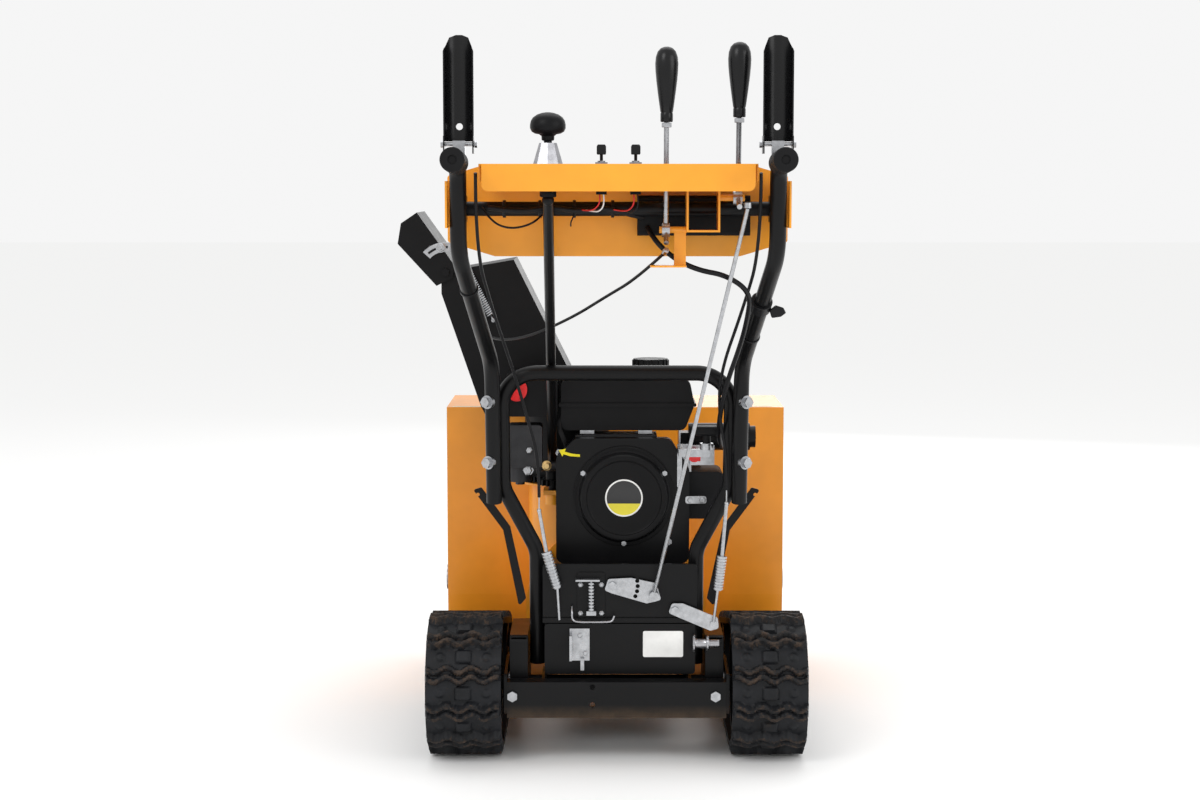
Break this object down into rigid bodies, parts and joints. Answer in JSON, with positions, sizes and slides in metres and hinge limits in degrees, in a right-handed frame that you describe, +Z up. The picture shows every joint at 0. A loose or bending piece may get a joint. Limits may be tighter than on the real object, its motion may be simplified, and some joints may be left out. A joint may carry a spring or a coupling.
{
  "type": "snow blower",
  "caption": "Walk-behind two-stage snow blower on rubber tracks, with a turning chute, an auger housing and a lever panel between two grips.",
  "frame": {"origin": "centre of the scraper bar's bottom face, on the ground on the machine's centre plane", "axes": "+X to the operator's right, +Y forward towards the auger, +Z up"},
  "size_m": [0.7351, 1.2906, 1.174],
  "materials": {
    "orange_paint": "satin powder coat",
    "panel_orange": "satin powder coat",
    "black_paint": "satin black powder coat",
    "dark_paint": "dark grey sheet",
    "black_plastic": "moulded, matt",
    "gloss_plastic": "moulded, glossy",
    "red_plastic": "moulded",
    "zinc": "zinc plated",
    "steel": "machined",
    "cast": "as cast",
    "alloy": "die cast",
    "track_rubber": "moulded rubber",
    "rubber": "ribbed rubber",
    "cable": "sheathed"
  },
  "bodies": {
    "machine": {"auger_housing": "orange_paint", "scraper_bar": "black_paint", "skid_shoes": "black_paint", "bearings": "steel", "auger_gearbox": "cast", "track_belt_left": "track_rubber", "track_belt_right": "track_rubber", "track_frames": "black_paint", "tractor_frame": "black_paint", "rear_beam": "black_paint", "side_braces": "black_paint", "rear_covers": "black_paint", "latch": "zinc", "engine_block": "alloy", "fan_shroud": "black_paint", "recoil_cover": "black_plastic", "starter_rope": "cable", "fuel_tank": "black_plastic", "choke_box": "black_plastic", "carburettor": "alloy", "muffler": "dark_paint", "starter_motor": "black_paint", "engine_brackets": "zinc", "belt_cover": "black_plastic", "auger_belt": "rubber", "lower_handle": "black_paint", "upper_handles": "black_paint", "handle_grips": "rubber", "fasteners": "zinc", "control_panel": "panel_orange", "panel_skirt": "panel_orange", "panel_switch_box": "black_plastic", "control_supports": "panel_orange", "cables": "cable", "deflector_cable": "cable"},
    "auger_turning": {"auger": "orange_paint"},
    "impeller_turning": {"impeller": "orange_paint"},
    "engine_shaft": {"crankshaft": "steel"},
    "rear_wheels": {"rear_track_wheels": "black_plastic"},
    "front_wheels": {"front_track_wheels": "black_plastic"},
    "chute_turning": {"chute": "black_plastic"},
    "deflector_hood": {"deflector": "black_plastic"},
    "pinion": {"chute_pinion": "black_plastic"},
    "control_rod": {"chute_rod": "black_paint"},
    "knob": {"chute_knob": "black_plastic"},
    "tilt_control": {"tilt_lever": "zinc"},
    "speed_control": {"speed_lever": "zinc"},
    "speed_link": {"speed_rod": "zinc"},
    "crank": {"crank_plate": "zinc"},
    "drive_paddle": {"drive_clutch_paddle": "gloss_plastic"},
    "auger_paddle": {"auger_clutch_paddle": "gloss_plastic"},
    "drive_link": {"drive_clutch_link": "zinc"},
    "auger_link": {"auger_clutch_link": "zinc"},
    "clutch_arm": {"auger_clutch_arm": "zinc"},
    "choke": {"choke_knob": "red_plastic"},
    "throttle": {"throttle_lever": "red_plastic"},
    "pull_handle": {"starter_handle": "black_plastic"},
    "filler_cap": {"fuel_cap": "black_plastic"},
    "left_toggle": {"heater_switch": "zinc"},
    "right_toggle": {"light_switch": "zinc"}
  },
  "joints": [
    {"name": "impeller_spin", "type": "hinge", "parent": "machine", "child": "impeller_turning", "pos_m": [0, -0.2, 0.195], "axis": [0, 1, 0], "continuous": true},
    {"name": "auger_spin", "type": "hinge", "parent": "machine", "child": "auger_turning", "pos_m": [0, 0.07, 0.19], "axis": [1, 0, 0], "continuous": true},
    {"name": "engine_spin", "type": "hinge", "parent": "machine", "child": "engine_shaft", "pos_m": [0.013, -0.4, 0.424], "axis": [0, 1, 0], "continuous": true},
    {"name": "rear_wheel_spin", "type": "hinge", "parent": "machine", "child": "rear_wheels", "pos_m": [0, -0.525, 0.12], "axis": [1, 0, 0], "continuous": true},
    {"name": "front_wheel_spin", "type": "hinge", "parent": "machine", "child": "front_wheels", "pos_m": [0, -0.222, 0.09], "axis": [1, 0, 0], "continuous": true},
    {"name": "chute_rotate", "type": "hinge", "parent": "machine", "child": "chute_turning", "pos_m": [-0.088, -0.208, 0.43], "axis": [0, 0, 1], "range_deg": [-180, 0]},
    {"name": "pinion_spin", "type": "hinge", "parent": "machine", "child": "pinion", "pos_m": [-0.1117, -0.31951, 0.43], "axis": [0, 0, 1], "range_deg": [-1, 901]},
    {"name": "rod_spin", "type": "hinge", "parent": "machine", "child": "control_rod", "pos_m": [-0.104, -0.888, 0.932], "axis": [0.0105, -0.7733, 0.6339], "range_deg": [-1, 901]},
    {"name": "knob_spin", "type": "hinge", "parent": "machine", "child": "knob", "pos_m": [-0.104, -0.888, 1], "axis": [0, 0, 1], "range_deg": [-1, 901]},
    {"name": "deflector_tilt", "type": "hinge", "parent": "chute_turning", "child": "deflector_hood", "pos_m": [-0.3, -0.208, 0.8], "axis": [0, 1, 0], "range_deg": [-54.5, 0.5]},
    {"name": "tilt_lever_swing", "type": "hinge", "parent": "machine", "child": "tilt_control", "pos_m": [0.072, -0.845, 0.887], "axis": [1, 0, 0], "range_deg": [-18, 0]},
    {"name": "speed_lever_swing", "type": "hinge", "parent": "machine", "child": "speed_control", "pos_m": [0.18, -0.845, 0.935], "axis": [1, 0, 0], "range_deg": [-15, 10]},
    {"name": "speed_rod_travel", "type": "slide", "parent": "machine", "child": "speed_link", "axis": [0.1794, -0.4333, 0.8832], "range_m": [-0.0078, 0.0115]},
    {"name": "crank_turn", "type": "hinge", "parent": "machine", "child": "crank", "pos_m": [-0.007, -0.5625, 0.292], "axis": [0, 1, 0], "range_deg": [-8.2, 5.6]},
    {"name": "drive_paddle_press", "type": "hinge", "parent": "machine", "child": "drive_paddle", "pos_m": [-0.235, -0.893, 1.014], "axis": [1, 0, 0], "range_deg": [0, 85], "stiffness_Nm_per_rad": 0.5, "springref_deg": -20.05},
    {"name": "auger_paddle_press", "type": "hinge", "parent": "machine", "child": "auger_paddle", "pos_m": [0.235, -0.893, 1.014], "axis": [1, 0, 0], "range_deg": [0, 85], "stiffness_Nm_per_rad": 0.5, "springref_deg": -20.05},
    {"name": "drive_link_lift", "type": "slide", "parent": "machine", "child": "drive_link", "axis": [0, 0, 1], "range_m": [-0.0001, 0.0121]},
    {"name": "auger_link_lift", "type": "slide", "parent": "machine", "child": "auger_link", "axis": [0, 0, 1], "range_m": [-0.0001, 0.0121]},
    {"name": "clutch_arm_turn", "type": "hinge", "parent": "machine", "child": "clutch_arm", "pos_m": [0.097, -0.5625, 0.25], "axis": [0, 1, 0], "range_deg": [-11, 0.1]},
    {"name": "choke_turn", "type": "hinge", "parent": "machine", "child": "choke", "pos_m": [-0.171, -0.401, 0.603], "axis": [0, 1, 0], "range_deg": [0, 90]},
    {"name": "throttle_swing", "type": "hinge", "parent": "machine", "child": "throttle", "pos_m": [0.14, -0.43, 0.488], "axis": [0, 1, 0], "range_deg": [-20, 25]},
    {"name": "starter_pull", "type": "slide", "parent": "machine", "child": "pull_handle", "axis": [0, 0, 1], "range_m": [0, 0.25], "deforming": ["starter_rope"]},
    {"name": "fuel_cap_turn", "type": "hinge", "parent": "machine", "child": "filler_cap", "pos_m": [0.06, -0.356, 0.64], "axis": [0, 0, 1], "range_deg": [0, 180]},
    {"name": "heater_switch_flip", "type": "hinge", "parent": "machine", "child": "left_toggle", "pos_m": [-0.025, -0.865, 0.984], "axis": [1, 0, 0], "range_deg": [-30, 0]},
    {"name": "light_switch_flip", "type": "hinge", "parent": "machine", "child": "right_toggle", "pos_m": [0.026, -0.865, 0.984], "axis": [1, 0, 0], "range_deg": [-30, 0]}
  ],
  "couplings": [
    {"joint": "auger_spin", "follows": "impeller_spin", "ratio": 0.1},
    {"joint": "engine_spin", "follows": "impeller_spin", "ratio": 2.3393},
    {"joint": "front_wheel_spin", "follows": "rear_wheel_spin", "ratio": 1.4438},
    {"joint": "pinion_spin", "follows": "chute_rotate", "ratio": -5},
    {"joint": "rod_spin", "follows": "chute_rotate", "ratio": -5},
    {"joint": "knob_spin", "follows": "chute_rotate", "ratio": -5},
    {"joint": "deflector_tilt", "follows": "tilt_lever_swing", "ratio": 3},
    {"joint": "speed_rod_travel", "follows": "speed_lever_swing", "m_per_rad": -0.041},
    {"joint": "crank_turn", "follows": "speed_lever_swing", "ratio": 0.525},
    {"joint": "drive_link_lift", "follows": "drive_paddle_press", "m_per_rad": 0.00809},
    {"joint": "auger_link_lift", "follows": "auger_paddle_press", "m_per_rad": 0.00809},
    {"joint": "clutch_arm_turn", "follows": "auger_paddle_press", "ratio": -0.12639}
  ]
}
